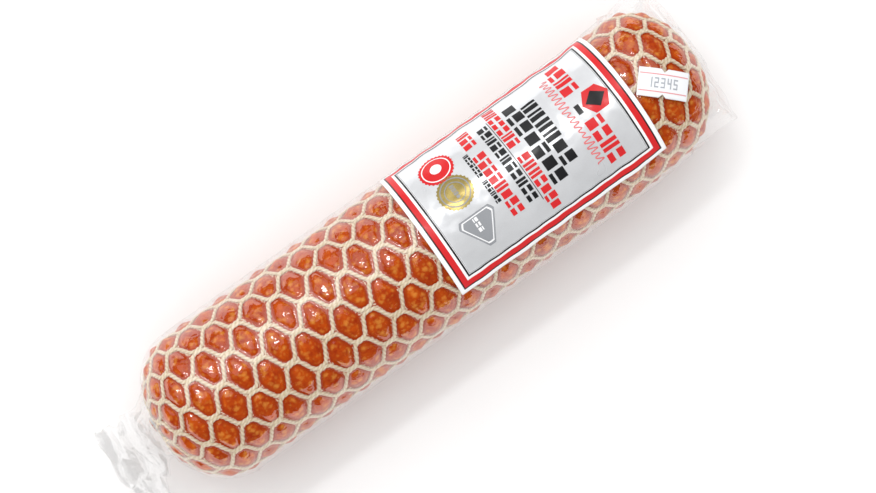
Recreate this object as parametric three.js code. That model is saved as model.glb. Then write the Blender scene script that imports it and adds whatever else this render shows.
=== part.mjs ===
// A cured sausage lying on its side, as it is sold: the meat stick in its skin, the
// knitted net drawn tight over it, a metal clip on each gathered end, a clear film
// wrap, a printed label on the film and a small price sticker beside the label.
// Millimetres. X runs along the sausage, +Z is up, and the origin is under the
// middle of the whole, on the surface that it lies on.

import * as THREE from 'three';

// The meat stick
const stickLength = 275;
const stickRadius = 32;
const domeDepth = 24.5;
const flatDepth = 1.1;
const bendReach = 3.8;
const bendLength = 51;
const dimpleDepth = 5;
const dimpleRadius = 6;
const leftPoleShift = 5.5;
const neckRadius = 2.2;
const neckProud = 0.6;

// The net
const netGap = 0.4;
const netThickness = 1;
const cellsRound = 11;
const cellPitch = 19.1;
const linkLength = 5.4;
const strandWidth = 1.9;
const netMouthClearance = 1.85;
const netTurn = 11.4;

// The clips
const clipClearance = 0.45;
const clipWall = 0.95;
const clipLobe = 0.6;
const clipThickness = 2.2;
const clipCorner = 2;

// The film wrap
const filmGap = 0.4;
const filmThickness = 0.3;
const filmSides = 44;
const throatWidth = 26;
const throatHeight = 17;
const leftTailLength = 23;
const leftTailWidth = 54;
const leftTailSwing = -10;
const leftTailDrop = 24;
const rightEarReach = 34.8;
const rightFinRise = 14;
const mouthHeight = 1.6;

// The label and the sticker
const paperGap = 0.3;
const paperThickness = 0.25;
const labelLength = 104;
const labelFromTip = 35.8;
const labelFrom = -80;
const labelTo = 45;
const stickerLength = 21.5;
const stickerWidth = 12;
const stickerNotch = 1.5;
const stickerFromTip = 23;
const stickerSide = -1.3;
const stickerTurn = -42;

const radians = THREE.MathUtils.degToRad;
const straightHalf = stickLength / 2 - domeDepth;
const domeArc = Math.PI / 4 * (domeDepth + stickRadius);
const clipHeight = 2 * (neckRadius + clipClearance + clipWall);
const clipWidth = clipHeight + 2 * clipLobe;
const netMouthRadius = clipWidth / 2 + strandWidth / 2 + netMouthClearance;
const netInner = netGap;
const netOuter = netInner + netThickness;
const filmInner = netOuter + filmGap;
const filmOuter = filmInner + filmThickness;
const paperInner = filmOuter + paperGap;
const paperOuter = paperInner + paperThickness;
const rowTurn = Math.PI / cellsRound;
const firstRow = radians(netTurn);

function smooth(share) {
  return THREE.MathUtils.smoothstep(share, 0, 1);
}

// The whole stick leans to +Y over its last stretch on the right.
function bendAt(x) {
  return bendReach * smooth((x - stickLength / 2 + bendLength) / bendLength);
}

// A point of the layer that lies `out` beyond the stick's own surface. `turn` is the
// angle from the top towards -Y. `along` is measured along the skin from the middle,
// over the round ends and up to the poles.
function skinPoint(turn, along, out) {
  const side = along < 0 ? -1 : 1;
  const past = Math.max(Math.abs(along) - straightHalf, 0);
  const tilt = Math.min(past / domeArc, 1) * Math.PI / 2;
  const radius = stickRadius + out;
  const ring = radius * Math.cos(tilt);
  const shift = side < 0 ? leftPoleShift * Math.sin(tilt) ** 2 : 0;
  const y = shift - ring * Math.sin(turn);
  const z = ring * Math.cos(turn);
  if (past === 0) {
    return new THREE.Vector3(along, y + bendAt(along), Math.max(z, flatDepth - radius));
  }
  const reach = Math.sqrt(Math.max(1 - (y * y + z * z) / radius ** 2, 0));
  const dimple = dimpleDepth * Math.exp(-((ring / dimpleRadius) ** 2));
  const x = side * (straightHalf + (domeDepth + out) * reach - dimple);
  return new THREE.Vector3(x, y + bendAt(x), Math.max(z, flatDepth - radius));
}

// Where the stick leans, the layers need more rings than where it is straight.
const leanStations = steps(stickLength / 2 - bendLength, straightHalf, 3);

// How far along the skin the round end has narrowed to a ring of this radius.
function alongAt(ring, out) {
  return straightHalf + domeArc * Math.acos(ring / (stickRadius + out)) / (Math.PI / 2);
}

function steps(from, to, count) {
  return Array.from({ length: count + 1 }, (_, i) => from + (to - from) * i / count);
}

// Turns for the points of a ring, the first of them on a row of the net.
function turnsRound(count) {
  return steps(0, count - 1, count - 1).map((i) => firstRow + i * 2 * Math.PI / count);
}

// Collects points and triangles, and turns them into a closed mesh facing out.
class Shell {
  constructor() {
    this.points = [];
    this.faces = [];
  }

  add(point) {
    this.points.push(point);
    return this.points.length - 1;
  }

  addAll(points) {
    return points.map((point) => this.add(point));
  }

  fan(ids) {
    for (let i = 1; i < ids.length - 1; i += 1) {
      this.faces.push([ids[0], ids[i], ids[i + 1]]);
    }
  }

  // A band of quads between two closed rings with the same number of points.
  band(ringA, ringB) {
    ringA.forEach((id, i) => {
      const next = (i + 1) % ringA.length;
      this.fan([id, ringA[next], ringB[next], ringB[i]]);
    });
  }

  cap(ring, centre) {
    const middle = this.add(centre);
    ring.forEach((id, i) => this.faces.push([id, ring[(i + 1) % ring.length], middle]));
  }

  volume() {
    const cross = new THREE.Vector3();
    return this.faces.reduce((sum, [a, b, c]) => {
      cross.crossVectors(this.points[b], this.points[c]);
      return sum + this.points[a].dot(cross) / 6;
    }, 0);
  }

  geometry() {
    const faces = this.volume() < 0 ? this.faces.map(([a, b, c]) => [a, c, b]) : this.faces;
    const made = new THREE.BufferGeometry().setFromPoints(this.points);
    made.setIndex(faces.flat());
    made.computeVertexNormals();
    return made;
  }
}

function piece(name, geometry, color, roughness, metalness = 0) {
  const material = new THREE.MeshStandardMaterial({ color, roughness, metalness });
  const mesh = new THREE.Mesh(geometry, material);
  mesh.name = name;
  return mesh;
}

// The stick: rings round the skin, closed at each pole by the stub of gathered skin
// that the clip holds.
function stickGeometry() {
  const shell = new Shell();
  const turns = turnsRound(2 * cellsRound);
  const ringOf = (along) => shell.addAll(turns.map((turn) => skinPoint(turn, along, 0)));
  const dome = [
    ...steps(0.14, 0.7, 4).map((share) => straightHalf + share * domeArc),
    ...steps(1.8, 0.6, 4).map((share) => alongAt(share * dimpleRadius, 0)),
    alongAt(neckRadius, 0),
  ];
  const leftDome = dome.map((along) => -along).reverse();
  const rings = [...leftDome, -straightHalf, ...leanStations, ...dome].map(ringOf);
  rings.slice(1).forEach((ring, i) => shell.band(rings[i], ring));
  for (const [ring, side] of [[rings[0], -1], [rings.at(-1), 1]]) {
    const end = side * (stickLength / 2 + neckProud);
    const stub = shell.addAll(ring.map((id) => shell.points[id].clone().setX(end)));
    const centre = poleCentre(side).setX(end);
    if (side < 0) shell.band(stub, ring);
    else shell.band(ring, stub);
    shell.cap(side < 0 ? [...stub].reverse() : stub, centre);
  }
  return shell.geometry();
}

function poleCentre(side) {
  const y = side < 0 ? leftPoleShift : bendReach;
  return new THREE.Vector3(side * stickLength / 2, y, 0);
}

// Moves each side of a flat outline inwards by the same distance.
function inset(outline, distance) {
  return outline.map((corner, i) => {
    const before = outline[(i + outline.length - 1) % outline.length];
    const after = outline[(i + 1) % outline.length];
    const a = new THREE.Vector2().subVectors(corner, before).normalize();
    const b = new THREE.Vector2().subVectors(after, corner).normalize();
    const normalA = new THREE.Vector2(-a.y, a.x);
    const normalB = new THREE.Vector2(-b.y, b.x);
    const shift = normalA.clone().add(normalB).multiplyScalar(distance / (1 + normalA.dot(normalB)));
    return corner.clone().add(shift);
  });
}

// The net: six-sided cells whose short links lie along the sausage. Links stand at every
// second crossing of the rows round it and the columns along it.
function netGeometry() {
  const rows = 2 * cellsRound;
  const firstColumn = -alongAt(netMouthRadius, netInner);
  const columns = Math.round(-2 * firstColumn / (cellPitch / 2));
  const columnStep = -2 * firstColumn / columns;
  const columnAt = (j) => firstColumn + j * columnStep;
  const half = strandWidth / 2;
  const corners = new Map();
  const key = (j, k, end) => `${j},${(k + rows) % rows},${end}`;
  const note = (j, k, end) => {
    const atEdge = (end < 0 && j === 0) || (end > 0 && j === columns);
    const along = columnAt(j) + (atEdge ? 0 : end * linkLength / 2);
    const name = key(j, k, end);
    corners.set(name, along);
    return { name, along, turn: k * rowTurn };
  };

  const cells = [];
  for (let j = 0; j <= columns; j += 1) {
    for (let k = 0; k < rows; k += 1) {
      if ((j + k) % 2 === 0) continue;
      const outline = [];
      if (j > 0) outline.push(note(j - 1, k, 1));
      outline.push(note(j, k - 1, -1), note(j, k - 1, 1));
      if (j < columns) outline.push(note(j + 1, k, -1));
      outline.push(note(j, k + 1, 1), note(j, k + 1, -1));
      const radius = ringRadius(columnAt(j));
      const flat = outline.map(({ along, turn }) => new THREE.Vector2(along, turn * radius));
      const hole = inset(flat, half).map(({ x, y }) => ({ along: x, turn: y / radius }));
      cells.push({ names: outline.map(({ name }) => name), hole });
    }
  }
  for (const [j, end] of [[0, -1], [columns, 1]]) {
    const ks = steps(0, rows - 1, rows - 1).filter((k) => (j + k) % 2 === 0);
    if (end > 0) ks.reverse();
    const hole = ks.map((k) => ({ along: columnAt(j) + end * half, turn: k * rowTurn }));
    cells.push({ names: ks.map((k) => key(j, k, end)), hole });
  }

  const shell = new Shell();
  const around = new Map([...corners.keys()].map((name) => [name, []]));
  const sides = new Map();
  for (const cell of cells) {
    const place = (out) => shell.addAll(
      cell.hole.map(({ along, turn }) => skinPoint(firstRow + turn, along, out)),
    );
    cell.top = place(netOuter);
    cell.under = place(netInner);
    shell.band(cell.top, cell.under);
    cell.names.forEach((name, i) => {
      const next = (i + 1) % cell.names.length;
      around.get(name).push({ cell, i, after: cell.names[next] });
      sides.set(`${name}|${cell.names[next]}`, [cell, i, next]);
    });
  }
  const pave = (picks) => {
    shell.fan(picks.map(([cell, i]) => cell.top[i]));
    shell.fan(picks.map(([cell, i]) => cell.under[i]).reverse());
  };
  for (const [name, [cell, i, next]] of sides) {
    const [from, to] = name.split('|');
    if (from > to) continue;
    const [other, otherTo, otherFrom] = sides.get(`${to}|${from}`);
    pave([[cell, next], [cell, i], [other, otherFrom], [other, otherTo]]);
  }
  for (const [name, [a, b, c]] of around) {
    const beforeA = sides.get(`${a.after}|${name}`)[0];
    pave((beforeA === c.cell ? [a, b, c] : [a, c, b]).map(({ cell, i }) => [cell, i]));
  }
  return shell.geometry();
}

function ringRadius(along) {
  const past = Math.max(Math.abs(along) - straightHalf, 0);
  return (stickRadius + netInner) * Math.cos(past / domeArc * Math.PI / 2);
}

// A clip: a flat rounded ring of wire pressed round the stub of skin.
function clipGeometry() {
  const outline = new THREE.Shape();
  const w = clipWidth / 2;
  const h = clipHeight / 2;
  outline.moveTo(-w + clipCorner, -h);
  outline.lineTo(w - clipCorner, -h);
  outline.absarc(w - clipCorner, -h + clipCorner, clipCorner, -Math.PI / 2, 0);
  outline.absarc(w - clipCorner, h - clipCorner, clipCorner, 0, Math.PI / 2);
  outline.absarc(-w + clipCorner, h - clipCorner, clipCorner, Math.PI / 2, Math.PI);
  outline.absarc(-w + clipCorner, -h + clipCorner, clipCorner, Math.PI, Math.PI * 1.5);
  const bore = new THREE.Path();
  bore.absarc(0, 0, neckRadius + clipClearance, 0, Math.PI * 2, true);
  outline.holes.push(bore);
  const settings = { depth: clipThickness, bevelEnabled: false, curveSegments: 5 };
  const made = new THREE.ExtrudeGeometry(outline, settings);
  made.translate(0, 0, -clipThickness);
  made.rotateY(Math.PI / 2);
  return made;
}

function clip(name, side) {
  const mesh = piece(name, clipGeometry(), 0xb9bdc2, 0.35, 1);
  mesh.position.copy(poleCentre(side));
  if (side < 0) mesh.rotation.z = Math.PI;
  return mesh;
}

// How low the film's flattened underside lies below the axis.
const filmFloor = flatDepth - stickRadius - filmOuter;

// A ring that leans: its top and bottom points are given, and it is `halfWidth` wide.
function leaningRing(top, bottom, y, halfWidth, wall) {
  const centre = top.clone().add(bottom).multiplyScalar(0.5);
  const half = top.clone().sub(bottom).multiplyScalar(0.5);
  half.setLength(half.length() - wall);
  return turnsRound(filmSides).map((turn) => new THREE.Vector3(
    centre.x + half.x * Math.cos(turn),
    y - (halfWidth - wall) * Math.sin(turn),
    Math.max(centre.y + half.y * Math.cos(turn), filmFloor + wall),
  ));
}

// The film from its left tail to its right one, as rings. It lies close over the left
// end, narrows to a throat and fans out. On the right it is drawn over the end, and
// its folded fin lies low, with an ear on each side.
function filmRings(wall) {
  const { lerp } = THREE.MathUtils;
  const radius = stickRadius + filmOuter;
  const tip = straightHalf + domeDepth + filmOuter;
  const turns = turnsRound(filmSides);
  const skinRing = (along) => turns.map((turn) => skinPoint(turn, along, filmOuter - wall));

  const leftTail = steps(1, 0, 4).map((share) => {
    const spread = smooth(share);
    const x = -tip - filmThickness - leftTailLength * share;
    const middle = -leftTailDrop * spread;
    const high = lerp(throatHeight, mouthHeight, 1 - (1 - share) ** 2) / 2;
    const wide = lerp(throatWidth, leftTailWidth, spread) / 2;
    const y = lerp(leftPoleShift / 2, leftTailSwing, spread);
    const top = new THREE.Vector2(x, middle + high);
    return leaningRing(top, new THREE.Vector2(x, middle - high), y, wide, wall);
  });
  const leftDome = steps(0.7, 0.1, 6).map((share) => skinRing(-straightHalf - share * domeArc));
  const barrel = [-straightHalf, ...leanStations].map(skinRing);
  const rightEnd = steps(0, 1, 10).slice(1).map((share) => {
    const over = Math.min(share / 0.8, 1);
    const tuck = smooth((share - 0.8) / 0.2);
    const finMiddle = filmFloor + rightFinRise;
    const top = new THREE.Vector2(
      straightHalf + (tip - straightHalf) * Math.sin(over * Math.PI / 2) + filmThickness * tuck,
      lerp(radius * Math.cos(over * Math.PI / 2), finMiddle + mouthHeight / 2, tuck),
    );
    const bottom = new THREE.Vector2(
      straightHalf + (tip + filmThickness - straightHalf) * over,
      lerp(-radius, finMiddle - mouthHeight / 2, share ** 2.2),
    );
    const wide = lerp(radius, rightEarReach, smooth(share * 2));
    return leaningRing(top, bottom, bendAt(top.x), wide, wall);
  });
  return [...leftTail, ...leftDome, ...barrel, ...rightEnd];
}

function filmGeometry() {
  const shell = new Shell();
  const outer = filmRings(0).map((ring) => shell.addAll(ring));
  const inner = filmRings(filmThickness).map((ring) => shell.addAll(ring));
  const around = [...outer, ...inner.reverse()];
  around.forEach((ring, i) => shell.band(ring, around[(i + 1) % around.length]));
  return shell.geometry();
}

// A thin plate from a grid of points on its underside and the same grid on its top.
function plateGeometry(under, top) {
  const shell = new Shell();
  const ids = [under, top].map((grid) => grid.map((line) => shell.addAll(line)));
  const lines = under.length;
  const places = under[0].length;
  for (let i = 0; i < lines - 1; i += 1) {
    for (let j = 0; j < places - 1; j += 1) {
      const [u, t] = ids;
      shell.fan([t[i][j], t[i][j + 1], t[i + 1][j + 1], t[i + 1][j]]);
      shell.fan([u[i][j], u[i + 1][j], u[i + 1][j + 1], u[i][j + 1]]);
    }
  }
  const rim = [];
  for (let j = 0; j < places; j += 1) rim.push([0, j]);
  for (let i = 1; i < lines; i += 1) rim.push([i, places - 1]);
  for (let j = places - 2; j >= 0; j -= 1) rim.push([lines - 1, j]);
  for (let i = lines - 2; i > 0; i -= 1) rim.push([i, 0]);
  shell.band(rim.map(([i, j]) => ids[0][i][j]), rim.map(([i, j]) => ids[1][i][j]));
  return shell.geometry();
}

function labelGeometry() {
  const to = stickLength / 2 - labelFromTip;
  const from = to - labelLength;
  const stations = [from, ...leanStations.filter((x) => x > from && x < to), to];
  const turns = steps(radians(labelFrom), radians(labelTo), 16);
  const grid = (out) => stations.map((x) => turns.map((turn) => skinPoint(turn, x, out)));
  return plateGeometry(grid(paperInner), grid(paperOuter));
}

// The sticker lies on the film over the right end, a notch cut in each long side.
function stickerGeometry(film) {
  const ray = new THREE.Raycaster();
  const down = new THREE.Vector3(0, 0, -1);
  const lengths = [-1, -0.8, -0.6, -0.4, -0.2, -0.08, 0, 0.08, 0.2, 0.4, 0.6, 0.8, 1];
  const turn = radians(stickerTurn);
  const grid = (lift) => lengths.map((share) => steps(-1, 1, 6).map((across) => {
    const halfWidth = stickerWidth / 2 - (share === 0 ? stickerNotch : 0);
    const place = new THREE.Vector2(share * stickerLength / 2, across * halfWidth);
    place.rotateAround(new THREE.Vector2(), turn);
    const x = stickLength / 2 - stickerFromTip + place.x;
    const y = stickerSide + place.y;
    ray.set(new THREE.Vector3(x, y, 2 * stickRadius), down);
    const [hit] = ray.intersectObject(film);
    return new THREE.Vector3(x, y, hit.point.z + lift / hit.face.normal.z);
  }));
  return plateGeometry(grid(paperGap), grid(paperGap + paperThickness));
}

const film = piece('film_wrap', filmGeometry(), 0xeff2f3, 0.12);
const sausage = new THREE.Group();
sausage.add(
  piece('sausage_stick', stickGeometry(), 0xb9450f, 0.45),
  piece('net', netGeometry(), 0xe6d9bd, 0.85),
  clip('left_clip', -1),
  clip('right_clip', 1),
  film,
  piece('front_label', labelGeometry(), 0xd9dbdf, 0.35),
  piece('price_sticker', stickerGeometry(film), 0xf4f1ee, 0.6),
);

// Sets the origin under the middle of the whole, at the height that it rests on.
const box = new THREE.Box3().setFromObject(sausage);
const middle = box.getCenter(new THREE.Vector3());
sausage.position.set(-middle.x, -middle.y, -box.min.z);

const group = new THREE.Group();
group.add(sausage);

export default group;
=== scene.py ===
import math

import bmesh
import bpy
import numpy as np
from mathutils import Matrix, Vector


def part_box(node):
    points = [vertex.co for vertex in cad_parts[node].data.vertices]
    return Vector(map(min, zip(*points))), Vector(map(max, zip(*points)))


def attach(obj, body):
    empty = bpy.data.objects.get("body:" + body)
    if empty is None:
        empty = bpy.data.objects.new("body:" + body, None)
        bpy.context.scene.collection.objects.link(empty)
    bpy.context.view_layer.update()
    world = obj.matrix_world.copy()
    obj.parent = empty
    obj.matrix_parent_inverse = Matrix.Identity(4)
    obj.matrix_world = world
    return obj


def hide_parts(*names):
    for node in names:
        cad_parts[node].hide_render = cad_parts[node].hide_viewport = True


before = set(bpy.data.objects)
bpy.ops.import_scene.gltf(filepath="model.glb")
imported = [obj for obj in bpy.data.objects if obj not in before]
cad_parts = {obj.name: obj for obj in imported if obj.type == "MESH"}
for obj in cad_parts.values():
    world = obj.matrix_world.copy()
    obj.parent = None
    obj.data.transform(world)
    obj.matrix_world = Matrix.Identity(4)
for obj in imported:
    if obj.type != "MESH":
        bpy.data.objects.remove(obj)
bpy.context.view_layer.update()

mm = 0.001
fullTurn = 2 * math.pi

# The stick's form, in millimetres, which every layer over it follows.
stick = {
    "radius": 32.0,
    "domeDepth": 24.5,
    "flatDepth": 1.1,
    "neckProud": 0.6,
    "bendReach": 3.8,
    "bendLength": 51.0,
    "dimpleDepth": 5.0,
    "dimpleRadius": 6.0,
    "leftPoleShift": 5.5,
    "neckRadius": 2.2,
}


def cadBox(node):
    low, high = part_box(node)
    return low / mm, high / mm


stickLow, stickHigh = cadBox("sausage_stick")
leftClipLow, leftClipHigh = cadBox("left_clip")
halfLength = (stickHigh.x - stickLow.x) / 2 - stick["neckProud"]
straightHalf = halfLength - stick["domeDepth"]
domeArc = math.pi / 4 * (stick["domeDepth"] + stick["radius"])
middle = Vector((
    (stickHigh.x + stickLow.x) / 2,
    (leftClipLow.y + leftClipHigh.y) / 2 - stick["leftPoleShift"],
    (leftClipLow.z + leftClipHigh.z) / 2,
))


def smooth(share):
    share = np.clip(share, 0, 1)
    return share * share * (3 - 2 * share)


def between(a, b, share):
    return a + (b - a) * share


def bendAt(x):
    share = (x - halfLength + stick["bendLength"]) / stick["bendLength"]
    return stick["bendReach"] * smooth(share)


# Points of a layer that lies `out` beyond the stick's smooth surface. Turn runs from the top
# towards -Y, and along runs over the skin from the middle to the poles.
def skin(turn, along, out):
    turn, along, out = np.broadcast_arrays(turn, along, out)
    side = np.where(along < 0, -1.0, 1.0)
    past = np.maximum(np.abs(along) - straightHalf, 0)
    tilt = np.minimum(past / domeArc, 1) * math.pi / 2
    radius = stick["radius"] + out
    ring = radius * np.cos(tilt)
    shift = np.where(side < 0, stick["leftPoleShift"] * np.sin(tilt) ** 2, 0)
    y = shift - ring * np.sin(turn)
    z = ring * np.cos(turn)
    reach = np.sqrt(np.maximum(1 - (y * y + z * z) / radius ** 2, 0))
    dimple = stick["dimpleDepth"] * np.exp(-((ring / stick["dimpleRadius"]) ** 2))
    over = side * (straightHalf + (stick["domeDepth"] + out) * reach - dimple)
    x = np.where(past > 0, over, along)
    z = np.maximum(z, stick["flatDepth"] - radius)
    return np.stack([x + middle.x, y + bendAt(x) + middle.y, z + middle.z], -1)


def ringRadius(along):
    past = np.maximum(np.abs(along) - straightHalf, 0)
    return stick["radius"] * np.cos(np.minimum(past / domeArc, 1) * math.pi / 2)


def alongAt(ring):
    return straightHalf + domeArc * math.acos(ring / stick["radius"]) / (math.pi / 2)


# The height of the layer that lies `out` beyond the stick, above a place near its middle line.
def topHeight(x, y, out):
    x, y = x - middle.x, y - middle.y - bendAt(x - middle.x)
    share = np.clip((x - straightHalf) / (stick["domeDepth"] + out), 0, 1)
    return middle.z + np.sqrt((stick["radius"] + out) ** 2 * (1 - share ** 2) - y * y)


# A smooth random height at each point, mostly between -1 and 1, from waves in many directions.
def ripple(points, length, seed, count=14, stretch=(1, 1, 1)):
    rng = np.random.default_rng(seed)
    ways = rng.normal(size=(count, 3))
    ways /= np.linalg.norm(ways, axis=1)[:, None]
    ways *= rng.uniform(0.7, 1.4, (count, 1)) * fullTurn / length / np.array(stretch)
    phases = rng.uniform(0, fullTurn, count)
    total = np.zeros(points.shape[:-1])
    for way, phase in zip(ways, phases):
        total += np.sin(points @ way + phase)
    return total / math.sqrt(count)


# The net's lattice: a link lies on every second crossing of its rows and columns
lattice = {
    "cellsRound": 11,
    "cellPitch": 19.1,
    "linkLength": 5.4,
    "mouthRadius": 7.0,
    "firstTurn": math.radians(11.4),
    "cornerSoftness": 0.4,
}
rows = 2 * lattice["cellsRound"]
rowTurn = fullTurn / rows
firstColumn = -alongAt(lattice["mouthRadius"])
columns = round(-4 * firstColumn / lattice["cellPitch"])
columnStep = -2 * firstColumn / columns


# How far each place on the skin is from the nearest strand's centre line, rounded off where
# two strands meet, so that the cells between them have soft corners.
def strandDistance(turn, along):
    j = (along - firstColumn) / columnStep
    k = (turn - lattice["firstTurn"]) / rowTurn
    f, g = j - np.floor(j), k - np.floor(k)
    g = np.where((np.floor(j) + np.floor(k)) % 2 == 0, g, 1 - g)
    wide = np.maximum(ringRadius(along) * rowTurn, 0.3)
    x, y = f * columnStep, g * wide
    x1 = lattice["linkLength"] / 2
    x2 = columnStep - x1
    lower = np.hypot(np.maximum(x - x1, 0), y)
    upper = np.hypot(np.minimum(x - x2, 0), y - wide)
    share = np.clip(((x - x1) * (x2 - x1) + y * wide) / ((x2 - x1) ** 2 + wide ** 2), 0, 1)
    slant = np.hypot(x - between(x1, x2, share), y - wide * share)
    soft = lattice["cornerSoftness"]
    return -soft * np.log(np.exp(-lower / soft) + np.exp(-upper / soft) + np.exp(-slant / soft))


def makeObject(name, points, faces, attributes=None):
    mesh = bpy.data.meshes.new(name)
    places = np.asarray(points, dtype=float).reshape(-1, 3) * mm
    mesh.from_pydata(places.tolist(), [], [[int(i) for i in face] for face in faces])
    mesh.update()
    mesh.polygons.foreach_set("use_smooth", [True] * len(mesh.polygons))
    for key, values in (attributes or {}).items():
        layer = mesh.attributes.new(key, "FLOAT", "POINT")
        layer.data.foreach_set("value", np.asarray(values, dtype=float).ravel())
    made = bpy.data.objects.new(name, mesh)
    bpy.context.scene.collection.objects.link(made)
    return made


# Faces of a grid whose points are stored line after line. A closed grid joins up round itself.
def gridFaces(lines, places, closed=False, start=0):
    i = np.arange(lines - 1)[:, None]
    j = np.arange(places if closed else places - 1)[None, :]
    here = start + i * places + j
    beside = start + i * places + (j + 1) % places
    corners = np.broadcast_arrays(here, beside, beside + places, here + places)
    return np.stack(corners, -1).reshape(-1, 4).tolist()


# Cuts flat outlines at the places given along and across them, so that they can bend.
def cutFlat(outlines, cutsAlong, cutsAcross, facing):
    work = bmesh.new()
    for outline in outlines:
        work.faces.new([work.verts.new((a, b, 0)) for a, b in outline])
    for normal, cuts in ((Vector((1, 0, 0)), cutsAlong), (Vector((0, 1, 0)), cutsAcross)):
        for place in cuts:
            everything = work.verts[:] + work.edges[:] + work.faces[:]
            bmesh.ops.bisect_plane(
                work, geom=everything, dist=1e-5, plane_co=normal * place, plane_no=normal)
    for face in work.faces:
        if face.normal.z * facing < 0:
            face.normal_flip()
    work.verts.index_update()
    flat = np.array([vert.co for vert in work.verts])
    faces = [[vert.index for vert in face.verts] for face in work.faces]
    work.free()
    return flat[:, 0], flat[:, 1], faces


def finishPiece(piece, material, slotName, *nodes):
    piece.data.materials.append(material)
    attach(piece, "root")
    if nodes:
        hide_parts(*nodes)
    return piece


def thicken(piece, thickness):
    solid = piece.modifiers.new("thickness", "SOLIDIFY")
    solid.thickness = thickness * mm
    solid.offset = -1
    return piece


# A wire is one output socket, and sums on it add their own Math nodes.
class Wire:
    def __init__(self, sheet, socket):
        self.sheet, self.socket = sheet, socket

    def math(self, operation, *values):
        return self.sheet.add("ShaderNodeMath", {"operation": operation}, dict(enumerate(values)))

    def __abs__(self):
        return self.math("ABSOLUTE", self)

    def __add__(self, other):
        return self.math("ADD", self, other)

    def __sub__(self, other):
        return self.math("SUBTRACT", self, other)

    def __rsub__(self, other):
        return self.math("SUBTRACT", other, self)

    def __mul__(self, other):
        return self.math("MULTIPLY", self, other)

    def __pow__(self, other):
        return self.math("POWER", self, other)

    __radd__ = __add__
    __rmul__ = __mul__

    def clamp(self):
        return self.math("MAXIMUM", self.math("MINIMUM", self, 1.0), 0.0)

    def ramp(self, low, high):
        settings = {"interpolation_type": "SMOOTHSTEP"}
        return self.sheet.add("ShaderNodeMapRange", settings, {0: self, 1: low, 2: high})


def rgba(colour):
    return colour if isinstance(colour, Wire) else (*colour, 1.0)


# Short names for the sockets of the main shader
socketNames = {
    "base": "Base Color",
    "roughness": "Roughness",
    "metallic": "Metallic",
    "normal": "Normal",
    "specular": "Specular IOR Level",
    "coat": "Coat Weight",
    "coatRoughness": "Coat Roughness",
    "sheen": "Sheen Weight",
    "through": "Subsurface Weight",
    "reach": "Subsurface Radius",
    "depth": "Subsurface Scale",
}


# One material and its nodes
class Finish:
    def __init__(self, name):
        self.material = bpy.data.materials.new(name)
        self.material.use_nodes = True
        self.tree = self.material.node_tree
        self.tree.nodes.clear()
        self.place = self.add("ShaderNodeTexCoord", {}, {}, "Object")

    def add(self, kind, settings, values, out=0):
        node = self.tree.nodes.new(kind)
        for key, value in settings.items():
            setattr(node, key, value)
        for key, value in values.items():
            if isinstance(value, Wire):
                self.tree.links.new(value.socket, node.inputs[key])
            else:
                node.inputs[key].default_value = value
        return Wire(self, node.outputs[out]) if node.outputs else node

    def stretched(self, stretch):
        return self.add("ShaderNodeMapping", {}, {"Vector": self.place, "Scale": stretch})

    def noise(self, size, detail=2.0, stretch=(1, 1, 1), roughness=0.5):
        values = {"Vector": self.stretched(stretch), "Scale": 1 / (size * mm)}
        values.update({"Detail": detail, "Roughness": roughness})
        return self.add("ShaderNodeTexNoise", {}, values)

    def cells(self, size, stretch=(1, 1, 1)):
        values = {"Vector": self.stretched(stretch), "Scale": 1 / (size * mm)}
        return self.add("ShaderNodeTexVoronoi", {}, values, "Distance")

    def attribute(self, name):
        return self.add("ShaderNodeAttribute", {"attribute_name": name}, {}, "Fac")

    def mix(self, share, a, b):
        values = {0: share, 6: rgba(a), 7: rgba(b)}
        return self.add("ShaderNodeMix", {"data_type": "RGBA"}, values, 2)

    def bump(self, height, strength, distance):
        values = {"Strength": strength, "Distance": distance * mm, "Height": height}
        return self.add("ShaderNodeBump", {}, values)

    def coated(self, **values):
        sockets = {socketNames[key]: value for key, value in values.items()}
        return self.add("ShaderNodeBsdfPrincipled", {}, sockets)

    def shade(self, share, a, b):
        return self.add("ShaderNodeMixShader", {}, {0: share, 1: a, 2: b})

    def done(self, shader):
        self.add("ShaderNodeOutputMaterial", {}, {"Surface": shader})
        return self.material


# The cured stick under its skin
print("stick")
meat = {
    "placesRound": 264,
    "placesAlong": 340,
    "grooveOut": 0.0,
    "pillowOut": 1.6,
    "grooveHalf": 0.9,
    "shoulder": 3.0,
    "evenRing": 3.0,  # within this radius at the poles the skin has no bulges
    "fadeRing": 8.0,
    "skinStop": 0.6,  # the skin's last ring is this much wider than the neck
    "neckRings": 6,
    "pleats": 11,
    "pleatDepth": 0.13,
    "neckFlare": 0.18,
    "deep": (0.38, 0.030, 0.0003),
    "warm": (0.60, 0.092, 0.001),
    "fat": (0.76, 0.33, 0.05),
    # rim is painted shade, for where the meat dives under a strand
    "rim": (0.40, 0.040, 0.0006),
    # fuzzAndHaze is cotton fuzz with the film's milky reflection painted in
    "fuzzAndHaze": (0.80, 0.65, 0.49),
}
neckAlong = alongAt(stick["neckRadius"] + meat["skinStop"])


def pillowRise(turn, along):
    distance = strandDistance(turn, along) - meat["grooveHalf"]
    rise = 1 - np.exp(-((np.maximum(distance, 0) / meat["shoulder"]) ** 2))
    return rise * smooth((ringRadius(along) - meat["evenRing"]) / meat["fadeRing"])


def pillowOut(turn, along):
    return between(meat["grooveOut"], meat["pillowOut"], pillowRise(turn, along))


def turnsRound(count):
    return np.arange(count) * fullTurn / count


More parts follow.
